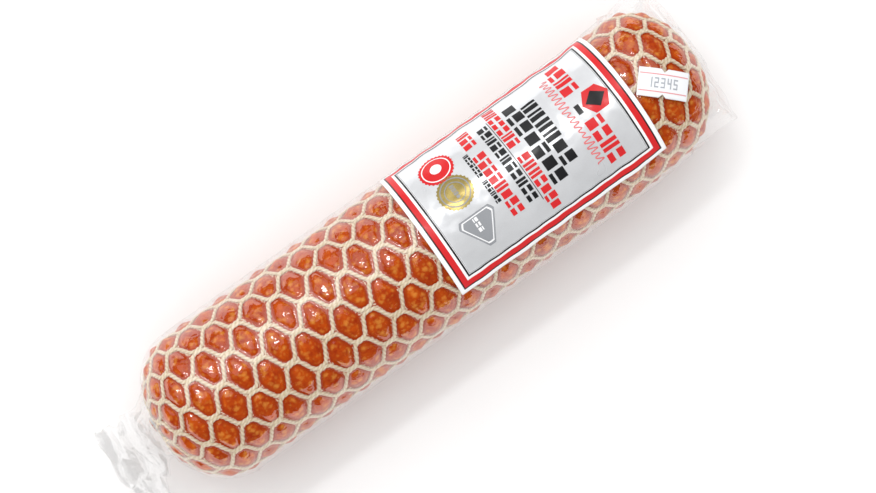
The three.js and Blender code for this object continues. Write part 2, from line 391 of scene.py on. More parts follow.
# Rings of points along one gathered neck, from the dimple out to the cut end.
def neckRings(side, turns, stations):
    y = middle.y + (stick["leftPoleShift"] if side < 0 else stick["bendReach"])
    root = halfLength - stick["dimpleDepth"] - 0.5
    tip = halfLength + stick["neckProud"]
    pleated = stick["neckRadius"] * (1 + meat["pleatDepth"] * np.cos(meat["pleats"] * turns + 0.6))
    rings = []
    for share in stations:
        ring = pleated * (1 + meat["neckFlare"] * share ** 6)
        x = np.full_like(turns, middle.x + side * between(root, tip, share))
        rings.append(np.stack([x, y - ring * np.sin(turns), middle.z + ring * np.cos(turns)], -1))
    return rings


def stickPiece():
    turns = turnsRound(meat["placesRound"])
    alongs = np.linspace(-neckAlong, neckAlong, meat["placesAlong"])
    turnGrid, alongGrid = np.meshgrid(turns, alongs)
    rise = pillowRise(turnGrid, alongGrid)
    body = skin(turnGrid, alongGrid, pillowOut(turnGrid, alongGrid))
    stations = np.linspace(0, 1, meat["neckRings"])
    left = neckRings(-1, turns, stations[::-1])
    right = neckRings(1, turns, stations)
    rings = [*left, *body, *right]
    points = np.concatenate(rings)
    onNeck = np.zeros(len(turns) * meat["neckRings"])
    rises = np.concatenate([onNeck, rise.ravel(), onNeck, [0, 0]])
    faces = gridFaces(len(rings), len(turns), closed=True)
    ends = [points[:len(turns)].mean(0), points[-len(turns):].mean(0)]
    count, last = len(points), len(points) - len(turns)
    for i in range(len(turns)):  # a fan closes each cut end
        after = (i + 1) % len(turns)
        faces += [[count, after, i], [count + 1, last + i, last + after]]
    return makeObject("cured_stick", np.vstack([points, ends]), faces, {"rise": rises})


def curedMeat():
    finish = Finish("curedMeat")
    rise = finish.attribute("rise")
    cloud = finish.noise(6, 3)
    grain = finish.noise(2.2, 3, roughness=0.6)
    fleck = finish.cells(3.6, stretch=(1, 1.3, 1)) + finish.noise(1.3, 2) * 0.7
    speck = finish.cells(2.1) + finish.noise(0.9, 1) * 0.5
    colour = finish.mix((cloud * 2.0 + grain * 1.6 - 1.35).clamp(), meat["deep"], meat["warm"])
    colour = finish.mix((1 - fleck.ramp(0.42, 0.9)) * 0.6, colour, meat["fat"])
    colour = finish.mix((1 - speck.ramp(0.34, 0.7)) * 0.25, colour, meat["fat"])
    # Darker where the meat dives under a strand: painted shade between the bulges and the net
    colour = finish.mix(rise.ramp(0.05, 0.35), meat["rim"], colour)
    # A thin cream band right beside each strand: cotton fuzz, with the film's milky reflection
    # painted in
    creamBand = rise + finish.noise(0.8, 2) * 0.1
    colour = finish.mix(creamBand.ramp(0.04, 0.06), meat["fuzzAndHaze"], colour)
    height = grain * 0.5 + finish.noise(0.5, 2) * 0.2 + fleck * 0.4
    shader = finish.coated(
        base=colour, roughness=(grain * 0.25 + 0.3).clamp(),
        normal=finish.bump(height, 0.35, 0.25), specular=0.12,
        through=0.12, reach=(1.0, 0.3, 0.1), depth=1.5 * mm,
    )
    return finish.done(shader)


finishPiece(stickPiece(), curedMeat(), "cured_meat", "sausage_stick")

# The knitted net: zigzag yarns that run side by side where they meet
print("net")
yarn = {
    "halfWidth": 0.82,
    "halfHeight": 0.52,
    "centreOut": 0.3,
    "linkOffset": 0.54,
    "step": 0.7,
    "soften": 2.1,
    "plyTwist": 2.2,
    "plyDepth": 0.2,
    "sides": 8,
    "wobble": 0.16,
    "gatherOut": 0.2,
    "gatherWidth": 0.55,
    "gatherRing": 2.5,
    "gatherFade": 7.0,
    # dark is the yarn's darker tone, and also painted shade in the grooves between the plies
    "light": (0.90, 0.80, 0.63),
    "dark": (0.50, 0.34, 0.16),
}


# One yarn's way from pole to pole, as its turns, its places along, and the length so far.
def yarnPath(k):
    first, half = lattice["firstTurn"], lattice["linkLength"] / 2
    middleTurn = first + (k + 0.5) * rowTurn
    rng = np.random.default_rng(100 + k)
    knots = [(middleTurn, -neckAlong), (middleTurn, firstColumn - 5)]
    for j in range(columns + 1):
        along = firstColumn + j * columnStep
        isNear = (j + k) % 2 == 0
        row, side = (k, 1) if isNear else (k + 1, -1)
        turn = first + row * rowTurn + side * yarn["linkOffset"] / ringRadius(along)
        drift = rng.normal(0, yarn["wobble"], 4)
        knots.append((turn + drift[0] / ringRadius(along), along - half + drift[1]))
        knots.append((turn + drift[2] / ringRadius(along), along + half + drift[3]))
    knots += [(middleTurn, -firstColumn + 5), (middleTurn, neckAlong)]
    turns, alongs = np.array(knots).T
    rings = ringRadius((alongs[1:] + alongs[:-1]) / 2)
    lengths = np.hypot(np.diff(alongs), np.diff(turns) * rings)
    run = np.concatenate([[0], np.cumsum(lengths)])
    at = np.arange(0, run[-1], yarn["step"])
    turns, alongs = np.interp(at, run, turns), np.interp(at, run, alongs)
    reach = round(yarn["soften"] / yarn["step"])
    weights = np.hanning(2 * reach + 3)[1:-1]
    weights /= weights.sum()
    pad = len(weights) // 2
    turns = np.convolve(np.pad(turns, pad, "edge"), weights, "valid")
    alongs = np.convolve(np.pad(alongs, pad, "edge"), weights, "valid")
    return turns, alongs, at


# One yarn's points: a flattened two-ply section swept along its path.
def yarnPoints(k):
    turns, alongs, run = yarnPath(k)
    rng = np.random.default_rng(300 + k)
    gather = smooth((ringRadius(alongs) - yarn["gatherRing"]) / yarn["gatherFade"])
    scale = between(yarn["gatherWidth"], 1, gather)[:, None]
    centre = skin(turns, alongs, between(yarn["gatherOut"], yarn["centreOut"], gather))
    outward = skin(turns, alongs, yarn["centreOut"] + 1) - skin(turns, alongs, yarn["centreOut"])
    outward /= np.linalg.norm(outward, axis=1)[:, None]
    forward = np.gradient(centre, axis=0)
    forward /= np.linalg.norm(forward, axis=1)[:, None]
    across = np.cross(forward, outward)
    across /= np.linalg.norm(across, axis=1)[:, None]
    angles = turnsRound(yarn["sides"])[None, :]
    ply = fullTurn * run[:, None] / yarn["plyTwist"] + rng.uniform(0, fullTurn)
    lobe = np.cos(2 * angles - ply)
    swell = 1 + yarn["plyDepth"] * lobe
    wide = yarn["halfWidth"] * scale * swell * np.cos(angles)
    high = yarn["halfHeight"] * scale * swell * np.sin(angles)
    sideways = wide[..., None] * across[:, None]
    return centre[:, None] + sideways + high[..., None] * outward[:, None], lobe


def netPiece(name, which):
    points, plies, faces, count = [], [], [], 0
    for k in which:
        rings, ply = yarnPoints(k)
        faces += gridFaces(len(rings), yarn["sides"], closed=True, start=count)
        faces.append(list(range(count, count + yarn["sides"]))[::-1])
        count += ply.size
        faces.append(list(range(count - yarn["sides"], count)))
        points.append(rings.reshape(-1, 3))
        plies.append(ply.ravel())
    return makeObject(name, np.vstack(points), faces, {"ply": np.concatenate(plies)})


def cottonYarn():
    finish = Finish("cottonYarn")
    fibre = finish.noise(0.35, 3, roughness=0.7)
    patch = finish.noise(6, 2)
    ply = finish.attribute("ply")
    # The ply term darkens the grooves between the two plies as painted shade; fibre and patch are
    # the yarn's own uneven tone
    share = fibre * 0.8 + patch * 0.5 + ply * 0.28 - 0.1
    shader = finish.coated(
        base=finish.mix(share.clamp(), yarn["dark"], yarn["light"]),
        roughness=(fibre * 0.2 + 0.65).clamp(), normal=finish.bump(fibre, 0.5, 0.3), sheen=0.25,
    )
    return finish.done(shader)


netFinish = cottonYarn()
finishPiece(netPiece("net_even_yarns", range(0, rows, 2)), netFinish, "cotton_net", "net")
finishPiece(netPiece("net_odd_yarns", range(1, rows, 2)), netFinish, "cotton_net", "net")

# The clear film, tight over the net, with a crumpled tail on the left and a fin on the right
print("film")
film = {
    "out": 1.85,
    "dip": 0.85,
    "evenRing": 6.0,  # within this radius at the poles the film has no dips
    "fadeRing": 8.0,
    "sideSlack": 1.2,
    "sideTurn": math.radians(96),
    "sideReach": math.radians(24),
    "placesRound": 320,
    "tailRings": 44,
    "domeRings": 48,
    "barrelRings": 290,
    "endRings": 64,
    "moatDepth": 0.4,
    "moatAt": 2.0,
    "moatHalf": 0.8,
    "throatWidth": 26.0,
    "throatHeight": 17.0,
    "tailLength": 23.0,
    "tailWidth": 54.0,
    "tailSwing": -10.0,
    "tailDrop": 24.0,
    "overShare": 0.8,  # of the right end's length goes over the dome, and the rest is tucked
    "earReach": 34.8,
    "finRise": 14.0,
    "mouthHeight": 1.6,
    "thickness": 0.3,
    "cadOut": 2.1,
    "crumples": [(19.0, 5, 1.8), (9.0, 9, 0.6)],  # length, seed and height of each size of fold
    "sway": [(15.0, 21), (13.0, 22), (14.0, 23)],  # length and seed along each axis
    "swayReach": 1.3,
    "tautRipple": 0.05,
    "creases": [  # turn in degrees and place along, at both ends
        (21, -40, 14, -2), (27, -22, 24, -6), (33, -96, 30, -60),
        (66, -70, 60, 10), (72, 20, 70, 90),
    ],
    "creaseHeight": 0.25,
    "creaseHalf": 0.8,
}
filmFloor = stick["flatDepth"] - stick["radius"] - film["cadOut"]


# A ring that leans: its top and bottom points are (x, z), and it is halfWidth to each side.
def leaningRing(turns, top, bottom, y, halfWidth):
    (topX, topZ), (bottomX, bottomZ) = top, bottom
    x = (topX + bottomX) / 2 + (topX - bottomX) / 2 * np.cos(turns)
    z = (topZ + bottomZ) / 2 + (topZ - bottomZ) / 2 * np.cos(turns)
    z = np.maximum(z, filmFloor)
    return np.stack([middle.x + x, middle.y + y - halfWidth * np.sin(turns), middle.z + z], -1)


def tailRing(turns, share):
    spread = smooth(share)
    tip = halfLength + film["cadOut"]
    x = -tip - film["thickness"] - film["tailLength"] * share
    centre = -film["tailDrop"] * spread
    high = between(film["throatHeight"], film["mouthHeight"], 1 - (1 - share) ** 2) / 2
    wide = between(film["throatWidth"], film["tailWidth"], spread) / 2
    y = between(stick["leftPoleShift"] / 2, film["tailSwing"], spread)
    return leaningRing(turns, (x, centre + high), (x, centre - high), y, wide)


# The right end is drawn over the dome, and then tucked into a low fin with an ear each side.
def endRing(turns, share):
    radius, tip = stick["radius"] + film["cadOut"], halfLength + film["cadOut"]
    over = min(share / film["overShare"], 1)
    tuck = smooth((share - film["overShare"]) / (1 - film["overShare"]))
    finMiddle = filmFloor + film["finRise"]
    topX = straightHalf + (tip - straightHalf) * math.sin(over * math.pi / 2)
    topX += film["thickness"] * tuck
    topZ = radius * math.cos(over * math.pi / 2)
    topZ = between(topZ, finMiddle + film["mouthHeight"] / 2, tuck)
    bottomX = straightHalf + (tip + film["thickness"] - straightHalf) * over
    bottomZ = between(-radius, finMiddle - film["mouthHeight"] / 2, share ** 2.2)
    wide = between(radius, film["earReach"], smooth(share * 2))
    return leaningRing(turns, (topX, topZ), (bottomX, bottomZ), bendAt(topX), wide)


# Sharp folds: a ridge wherever random waves cross zero, with smaller ones between them.
def folds(points, length, seed):
    large = 1 - np.abs(ripple(points, length, seed, 6))
    small = 1 - np.abs(ripple(points, length * 0.55, seed + 1, 6))
    return large + 0.45 * small - 0.6


# How slack the film is down the stick's sides, where it spans to the flat underside.
def sideShare(turns):
    fromTop = np.minimum(turns, fullTurn - turns)
    return np.exp(-(((fromTop - film["sideTurn"]) / film["sideReach"]) ** 2))


def creaseRise(turns, along):
    rise = 0 * turns
    for turnFrom, alongFrom, turnTo, alongTo in film["creases"]:
        share = (along - alongFrom) / (alongTo - alongFrom)
        off = (turns - math.radians(between(turnFrom, turnTo, share))) * stick["radius"]
        if 0 < share < 1:
            rise += film["creaseHeight"] * np.exp(-((off / film["creaseHalf"]) ** 2))
    return rise


# A ring that hugs the stick: it dips between the bulges of meat, over the strands, and a
# little deeper along each side of a strand.
def tightRing(turns, along, slack):
    steep = sideShare(turns)
    fromMoat = (strandDistance(turns, along) - film["moatAt"]) / film["moatHalf"]
    hollow = film["dip"] * (1 - pillowRise(turns, along))
    hollow += film["moatDepth"] * np.exp(-(fromMoat ** 2))
    fade = smooth((ringRadius(along) - film["evenRing"]) / film["fadeRing"])
    hollow = hollow * (1 - 0.8 * steep) * fade
    rise = film["sideSlack"] * steep * slack + creaseRise(turns, along)
    return skin(turns, along, film["out"] - hollow + rise)


# Loose is how freely the film hangs, and pressed how hard it lies on a strand.
def filmPiece():
    turns = turnsRound(film["placesRound"])
    steep = sideShare(turns)
    rings, loose, pressed = [], [], []

    def addRing(ring, looseness, press):
        rings.append(ring)
        loose.append(looseness + 0 * turns)
        pressed.append(press + 0 * turns)

    for share in np.linspace(1, 0, film["tailRings"]):
        addRing(tailRing(turns, share), between(0.55, 1, smooth(share * 3)), 0)
    for share in np.linspace(0.7, 0, film["domeRings"])[:-1]:
        along = -straightHalf - share * domeArc
        press = (1 - pillowRise(turns, along)) * (1 - steep)
        addRing(tightRing(turns, along, 1 - share), 0.3 * smooth((share - 0.4) / 0.3), press)
    for along in np.linspace(-straightHalf, straightHalf, film["barrelRings"]):
        press = (1 - pillowRise(turns, along)) * (1 - steep)
        addRing(tightRing(turns, along, 1), 0.6 * steep, press)
    for share in np.linspace(0, 1, film["endRings"])[1:]:
        looseness = 0.8 * smooth((share - 0.45) / 0.5) + 0.6 * steep * smooth(1 - share * 2)
        addRing(endRing(turns, share), looseness, 0)

    points, loose = np.array(rings), np.array(loose)
    order = np.arange(len(rings))[:, None]
    onLeft = order < film["tailRings"] + film["domeRings"]
    onRight = order > len(rings) - film["endRings"]
    crumpled = loose * onLeft + loose * onRight
    outward = points - points.mean(1, keepdims=True)
    outward /= np.maximum(np.linalg.norm(outward, axis=2, keepdims=True), 1e-6)
    crumple = sum(folds(points, length, seed) * height for length, seed, height in film["crumples"])
    sway = np.stack([ripple(points, length, seed) for length, seed in film["sway"]], -1)
    taut = ripple(points, 22, 31, stretch=(3, 1, 1)) * film["tautRipple"]
    points = points + outward * (crumple * crumpled + taut)[..., None]
    points = points + sway * (film["swayReach"] * crumpled)[..., None]
    points[..., 2] = np.maximum(points[..., 2], middle.z + filmFloor + 0.1)
    faces = gridFaces(len(rings), len(turns), closed=True)
    marks = {"loose": loose, "pressed": pressed}
    return makeObject("film_wrap_sheet", points.reshape(-1, 3), faces, marks)


# Mostly clear, glossier towards its edges, and hazy where it hangs loose. Where it is
# pressed on a strand it takes the strand's roughness.
def clearFilm():
    finish = Finish("clearFilm")
    loose = finish.attribute("loose")
    crease = finish.noise(14, 3, stretch=(0.5, 1, 1), roughness=0.6)
    fine = finish.noise(4, 2, stretch=(0.35, 1, 1))
    scribble = 1 - abs(finish.noise(6, 2, roughness=0.6) - 0.5) * 9
    normal = finish.bump(crease + fine * 0.4 + scribble.clamp() * 0.35, 0.25, 1.0)
    facing = finish.add("ShaderNodeLayerWeight", {}, {"Blend": 0.5, "Normal": normal}, "Facing")
    edge = facing ** 5
    smear = finish.noise(20, 4, roughness=0.65)
    pressed = finish.attribute("pressed").ramp(0.88, 1.0)
    dull = smear * 0.14 + 0.05 + pressed * 0.4
    values = {"Color": (1, 1, 1, 1), "Roughness": dull.clamp(), "Normal": normal}
    gloss = finish.add("ShaderNodeBsdfGlossy", {}, values)
    clear = finish.add("ShaderNodeBsdfTransparent", {}, {"Color": (1, 1, 1, 1)})
    haze = finish.add("ShaderNodeBsdfDiffuse", {}, {"Color": (0.85, 0.85, 0.85, 1)})
    shader = finish.shade((edge * 0.85 + 0.13 + loose * 0.05).clamp(), clear, gloss)
    shader = finish.shade((loose * 0.1).clamp(), shader, haze)
    return finish.done(shader)


finishPiece(filmPiece(), clearFilm(), "clear_film", "film_wrap")

# The printed label
print("label")
label = {
    "from": math.radians(-80),
    "to": math.radians(45),
    "out": 2.45,
    "press": 0.3,
    "thickness": 0.22,
    "radius": 34.5,
    "stepAlong": 0.8,
    "stepAcross": 0.8,
    "inkLift": 0.07,
    "strip": 1.2,
    "waves": [(26, 41, 0.12), (9, 42, 0.05)],  # length, seed and height
    "paper": (0.90, 0.90, 0.91),
    "silver": (0.80, 0.81, 0.83),
    "red": (0.68, 0.006, 0.010),
    "black": (0.012, 0.012, 0.014),
    "grey": (0.30, 0.31, 0.33),
    "pink": (0.76, 0.16, 0.17),
    "gold": (0.60, 0.46, 0.15),
}
labelLow, labelHigh = cadBox("front_label")
labelStart = labelLow.x - middle.x
labelLength = labelHigh.x - labelLow.x
labelWidth = label["radius"] * (label["to"] - label["from"])


# a runs along the stick from the label's inner end, and b across it, in millimetres.
def labelPoints(a, b, lift):
    a, b = np.broadcast_arrays(np.asarray(a, float), np.asarray(b, float))
    turn = label["from"] + b / label["radius"]
    along = labelStart + a
    press = smooth((strandDistance(turn, along) - 0.5) / 4)
    flat = np.stack([along, b, np.zeros_like(along)], -1)
    wave = sum(ripple(flat, length, seed) * height for length, seed, height in label["waves"])
    return skin(turn, along, label["out"] + label["press"] * press + wave + lift)


def labelSheet():
    a = np.linspace(0, labelLength, round(labelLength / label["stepAlong"]))
    b = np.linspace(0, labelWidth, round(labelWidth / label["stepAcross"]))
    grid = np.meshgrid(a, b, indexing="ij")
    sheet = makeObject("label_sheet", labelPoints(*grid, 0), gridFaces(len(a), len(b)))
    return thicken(sheet, label["thickness"])


# Flat outlines in (a, b), cut into strips that bend with the label, as one piece of print.
def printed(name, outlines, lift):
    cutsAlong = np.arange(label["strip"], labelLength, label["strip"])
    cutsAcross = np.arange(label["strip"], labelWidth, label["strip"])
    a, b, faces = cutFlat(outlines, cutsAlong, cutsAcross, -1)
    return makeObject(name, labelPoints(a, b, lift * label["inkLift"]), faces)


def rectangle(a0, b0, a1, b1):
    return [(a0, b0), (a1, b0), (a1, b1), (a0, b1)]


def insetPanel(inset):
    return rectangle(inset, inset, labelLength - inset, labelWidth - inset)


# The band between two outlines with the same number of corners, as one strip for each side.
def bandBetween(big, small):
    count = len(big)
    return [[big[i], big[(i + 1) % count], small[(i + 1) % count], small[i]] for i in range(count)]


def frameBand(outer, inner):
    return bandBetween(insetPanel(outer), insetPanel(inner))


# A round or many-sided shape. With a tooth depth, every second corner is set in by that.
def roundShape(a, b, radius, count, tooth=0.0, aspect=1.0):
    shape = []
    for i in range(count):
        angle = fullTurn * i / count
        reach = radius - tooth * (i % 2)
        shape.append((a + reach * math.cos(angle) * aspect, b + reach * math.sin(angle)))
    return shape


def ringShape(a, b, outer, inner, count=40):
    return bandBetween(roundShape(a, b, outer, count), roundShape(a, b, inner, count))


# Plain bars that stand in for a line of print, and spell nothing. Each is
# (left, low, right, high) in a cell one high.
blockMarks = [
    [(0, 0, 0.28, 1), (0.4, 0, 0.68, 1)],
    [(0, 0, 0.68, 0.36), (0, 0.6, 0.68, 1)],
    [(0, 0.12, 0.68, 0.88)],
    [(0, 0, 0.68, 0.24), (0, 0.4, 0.68, 1)],
    [(0, 0, 0.2, 1), (0.32, 0, 0.68, 1)],
    [(0, 0, 0.68, 0.6), (0, 0.76, 0.68, 1)],
]


# A line of blocks, with no block at the places in breaks.
def blockLine(a, height, bFrom, bTo, seed, spacing=0.92, breaks=()):
    rng = np.random.default_rng(seed)
    count = max(1, round((bTo - bFrom) / (height * spacing)))
    pitch = (bTo - bFrom) / count
    shapes = []
    for i in range(count):
        if i in breaks:
            continue
        blocks = blockMarks[rng.integers(len(blockMarks))]
        left, wide = bFrom + i * pitch, pitch * 1.12
        for u0, v0, u1, v1 in blocks:
            shapes.append(rectangle(
                a + v0 * height, left + u0 * wide, a + v1 * height, left + u1 * wide))
    return shapes


# A thin wavy line like quick handwriting, as short strips.
def scribble(a, height, bFrom, bTo, pitch, width, seed):
    rng = np.random.default_rng(seed)
    count = round((bTo - bFrom) / pitch) * 6
    b = np.linspace(bFrom, bTo, count) + np.sin(np.arange(count) * 1.05) * 0.12 * pitch
    tall = np.repeat(rng.uniform(0.45, 1, count // 6 + 1), 6)[:count]
    high = a + height * (0.5 + 0.5 * np.sin(np.arange(count) * fullTurn / 6) * tall)
    line = np.stack([high, b], -1)
    strips = []
    for start, end in zip(line, line[1:]):
        run = end - start
        side = np.array([run[1], -run[0]]) / max(np.hypot(*run), 1e-6) * width / 2
        corners = (start + side, end + side, end - side, start - side)
        strips.append([tuple(corner) for corner in corners])
    return strips


# Where a turn about the stick's axis falls across the label
def acrossAt(degrees):
    return label["radius"] * (math.radians(degrees) - label["from"])


# Print and paper share one finish, mottled by grain and dented by dent.
def ink(name, colour, roughness=0.4, metallic=0.0, grain=0.08, dent=0.0):
    finish = Finish(name)
    speckle = finish.noise(0.5, 2)
    cloud = finish.noise(12, 2)
    dim = tuple(part * (1 - grain * 2) for part in colour)
    lit = tuple(min(part * (1 + grain), 1) for part in colour)
    shader = finish.coated(
        base=finish.mix((speckle * 0.6 + cloud * 0.5 - 0.1).clamp(), dim, lit),
        roughness=(cloud * 0.2 + roughness - 0.1).clamp(), metallic=metallic,
        normal=finish.bump(finish.noise(7, 1) * dent + speckle * 0.05, 0.5, 1.0),
        coat=0.2, coatRoughness=0.15,
    )
    return finish.done(shader)


def addPrint(name, outlines, lift, material):
    finishPiece(printed(name, outlines, lift), material, "label_paper")


inks = {name: ink(name + "Ink", label[name]) for name in ("red", "black", "grey", "pink", "paper")}
silverInk = ink("silverPanel", label["silver"], 0.32, 0.35, 0.05, 1.6)
goldFoil = ink("goldFoil", label["gold"], 0.3, 0.7, 0.25, 1.0)
labelPaper = ink("labelPaper", label["paper"], 0.36, 0.0, 0.03)
finishPiece(labelSheet(), labelPaper, "label_paper", "front_label")

# The border, from the label's edge inwards: paper, black line, red band, gap, black line
border = {
    "edge": 1.9,
    "line": 0.6,
    "red": 2.5,
    "gap": 1.2,
    "thin": 0.75,
    "greyFrom": 0.25,
    "greyTo": 0.5,
    "panel": 0.7,
}
redStart = border["edge"] + border["line"]
redEnd = redStart + border["red"]
thinStart = redEnd + border["gap"]
thinEnd = thinStart + border["thin"]
blackLines = frameBand(border["edge"], redStart) + frameBand(thinStart, thinEnd)
greyLine = frameBand(thinEnd + border["greyFrom"], thinEnd + border["greyTo"])
addPrint("label_border_red", frameBand(redStart, redEnd), 1, inks["red"])
addPrint("label_border_lines", blackLines, 1, inks["black"])
addPrint("label_panel", [insetPanel(thinEnd + border["panel"])], 1, silverInk)
addPrint("label_grey_line", greyLine, 1, inks["grey"])

# Each line of print: place along the label, height, the turns in degrees that it runs
# between, seed, spacing, and the word breaks
printLines = {
    "red": [
        (80.6, 7.6, -63, -28, 1, 0.66, ()),
        (80.6, 7.6, -7, 29, 2, 0.66, ()),
        (49.8, 5.4, -66, 31, 3, 0.72, (7,)),
        (35.2, 5.6, -59, 25, 4, 0.72, (3, 12)),
    ],
    "black": [
        (63.8, 6.8, -45, 11, 5, 0.86, ()),
        (56.2, 7.0, -54, 18, 6, 0.86, ()),
        (43.6, 4.6, -51, 17, 7, 0.8, ()),
        (32.4, 2.4, -39, 4, 8, 0.75, (7,)),
    ],
}
rule = {"a": 49.0, "width": 0.3, "from": -53, "to": 19}
script = {"a": 75.4, "height": 4.6, "from": -54, "to": 22, "pitch": 2.6, "width": 0.5, "seed": 9}


def printBlocks(lines):
    shapes = []
    for a, height, turnFrom, turnTo, seed, spacing, breaks in lines:
        bFrom, bTo = acrossAt(turnFrom), acrossAt(turnTo)
        shapes += blockLine(a, height, bFrom, bTo, seed, spacing, breaks)
    return shapes


ruleShape = rectangle(
    rule["a"], acrossAt(rule["from"]), rule["a"] + rule["width"], acrossAt(rule["to"]))
scriptShapes = scribble(
    script["a"], script["height"], acrossAt(script["from"]), acrossAt(script["to"]),
    script["pitch"], script["width"], script["seed"])
addPrint("label_print_red", printBlocks(printLines["red"]), 2, inks["red"])
addPrint("label_print_black", printBlocks(printLines["black"]) + [ruleShape], 2, inks["black"])
addPrint("label_print_script", scriptShapes, 2, inks["pink"])

# The badge between the two red words, with a dark diamond and a bar beside it
badge = {"a": 90.5, "b": acrossAt(-17), "size": 6.4, "diamond": 0.62, "aspect": 1.2}
bar = {"from": -9.5, "to": -7.2, "half": 2.2}
badgeMarks = [
    roundShape(badge["a"], badge["b"], badge["size"] * badge["diamond"], 4, aspect=badge["aspect"]),
    rectangle(
        badge["a"] + bar["from"], badge["b"] - bar["half"],
        badge["a"] + bar["to"], badge["b"] + bar["half"]),
]
addPrint("label_badge", [roundShape(badge["a"], badge["b"], badge["size"], 6)], 2, inks["red"])
addPrint("label_badge_mark", badgeMarks, 3, inks["black"])

# Two round seals with toothed edges, the red one with a dot on it
seal = {
    "a": 20.8,
    "redB": acrossAt(-44),
    "goldB": acrossAt(-20),
    "goldShift": 0.6,
    "radius": 8.0,
    "corners": 56,
    "tooth": 0.5,
    "dot": 2.6,
}


def sealShape(a, b):
    return roundShape(a, b, seal["radius"], seal["corners"], seal["tooth"])


redMark = ringShape(seal["a"], seal["redB"], 6.5, 6.0)
redMark.append(roundShape(seal["a"], seal["redB"], seal["dot"], 24))
addPrint("label_seal_red", [sealShape(seal["a"], seal["redB"])], 2, inks["red"])
addPrint("label_seal_red_mark", redMark, 3, inks["paper"])
goldA, goldB = seal["a"] + seal["goldShift"], seal["goldB"]
goldMark = ringShape(goldA, goldB, 6.6, 6.1) + ringShape(goldA, goldB, 4.6, 4.2)
goldMark += blockLine(goldA - 1.0, 2.0, goldB - 3.4, goldB + 3.4, 11)
addPrint("label_seal_gold", [sealShape(goldA, goldB)], 2, goldFoil)
addPrint("label_seal_gold_mark", goldMark, 3, inks["grey"])

triangle = {
    "a": 22.0,
    "b": acrossAt(9),
    "reach": 9.2,
    "corner": 0.16,
    "outline": (0.88, 0.8),
    "lineA": 20.2,
    "lineHeight": 2.2,
    "lineFrom": -4.2,
    "lineTo": 2.6,
}


# Each corner is three points, a little turn apart.
def softTriangle(reach):
    corner = triangle["corner"]
    middles = [math.pi / 2 + fullTurn * i / 3 for i in range(3)]
    angles = [angle + turn for angle in middles for turn in (-corner, 0, corner)]
    return [(triangle["a"] + reach * math.cos(angle), triangle["b"] + reach * math.sin(angle))
            for angle in angles]


outer, inner = [softTriangle(triangle["reach"] * share) for share in triangle["outline"]]
triangleMark = bandBetween(outer, inner) + blockLine(
    triangle["lineA"], triangle["lineHeight"],
    triangle["b"] + triangle["lineFrom"], triangle["b"] + triangle["lineTo"], 12)
addPrint("label_triangle", [softTriangle(triangle["reach"])], 2, inks["grey"])
addPrint("label_triangle_mark", triangleMark, 3, inks["paper"])

# The price sticker, which follows the film over the right end
print("sticker")
sticker = {
    "length": 21.5,
    "width": 12.0,
    "notch": 1.5,
    "turn": math.radians(-42),
    "out": 2.55,
    "thickness": 0.15,
    "strip": 0.8,
    "creaseAt": 1.5,
    "creaseHalf": 0.9,
    "creaseHeight": 0.25,
    "lineInset": 2.4,
    "lineReach": 10.2,
    "lineHalf": 0.22,
    "lineLift": 0.05,
    "numberLift": 0.06,
    "number": "12345",
    "numberLeft": -6.6,
    "numberLow": -2.0,
    "numberHeight": 4.2,
    "numberPitch": 2.7,
    "paper": (0.83, 0.84, 0.86),
    "line": (0.78, 0.30, 0.32),
    "digit": (0.40, 0.42, 0.46),
}
stickerLow, stickerHigh = cadBox("price_sticker")
stickerMiddle = (stickerLow + stickerHigh) / 2


def stickerPiece(name, outlines, lift):
    strip = sticker["strip"]
    cutsAlong = np.arange(-sticker["length"] / 2 + strip, sticker["length"] / 2, strip)
    cutsAcross = np.arange(-sticker["width"] / 2 + strip, sticker["width"] / 2, strip)
    u, v, faces = cutFlat(outlines, cutsAlong, cutsAcross, 1)
    cosine, sine = math.cos(sticker["turn"]), math.sin(sticker["turn"])
    x = stickerMiddle.x + u * cosine - v * sine
    y = stickerMiddle.y + u * sine + v * cosine
    fromCrease = (u - sticker["creaseAt"]) / sticker["creaseHalf"]
    crease = sticker["creaseHeight"] * np.exp(-(fromCrease ** 2))
    z = topHeight(x, y, sticker["out"] + lift) + crease
    return makeObject(name, np.stack([x, y, z], -1), faces)


def stickerOutline():
    u, v, notch = sticker["length"] / 2, sticker["width"] / 2, sticker["notch"]
    return [[(-u, -v), (-notch, -v), (0, -v + notch), (notch, -v), (u, -v),
             (u, v), (notch, v), (0, v - notch), (-notch, v), (-u, v)]]


# Digits as bars, on a cell one wide and two high: each bar is (left, low, right, high).
bars = {
    "top": (0, 1.72, 1, 2), "mid": (0, 0.86, 1, 1.14), "base": (0, 0, 1, 0.28),
    "upLeft": (0, 1, 0.26, 2), "upRight": (0.74, 1, 1, 2),
    "lowLeft": (0, 0, 0.26, 1), "lowRight": (0.74, 0, 1, 1),
}
digitBars = {
    "1": ["upRight", "lowRight"],
    "2": ["top", "upRight", "mid", "lowLeft", "base"],
    "3": ["top", "upRight", "mid", "lowRight", "base"],
    "4": ["upLeft", "upRight", "mid", "lowRight"],
    "5": ["top", "upLeft", "mid", "lowRight", "base"],
}


def numberShapes():
    wide, half = sticker["numberPitch"] * 0.66, sticker["numberHeight"] / 2
    shapes = []
    for i, digit in enumerate(sticker["number"]):
        left, low = sticker["numberLeft"] + i * sticker["numberPitch"], sticker["numberLow"]
        for u0, v0, u1, v1 in (bars[name] for name in digitBars[digit]):
            shapes.append(rectangle(
                left + u0 * wide, low + v0 * half, left + u1 * wide, low + v1 * half))
    return shapes


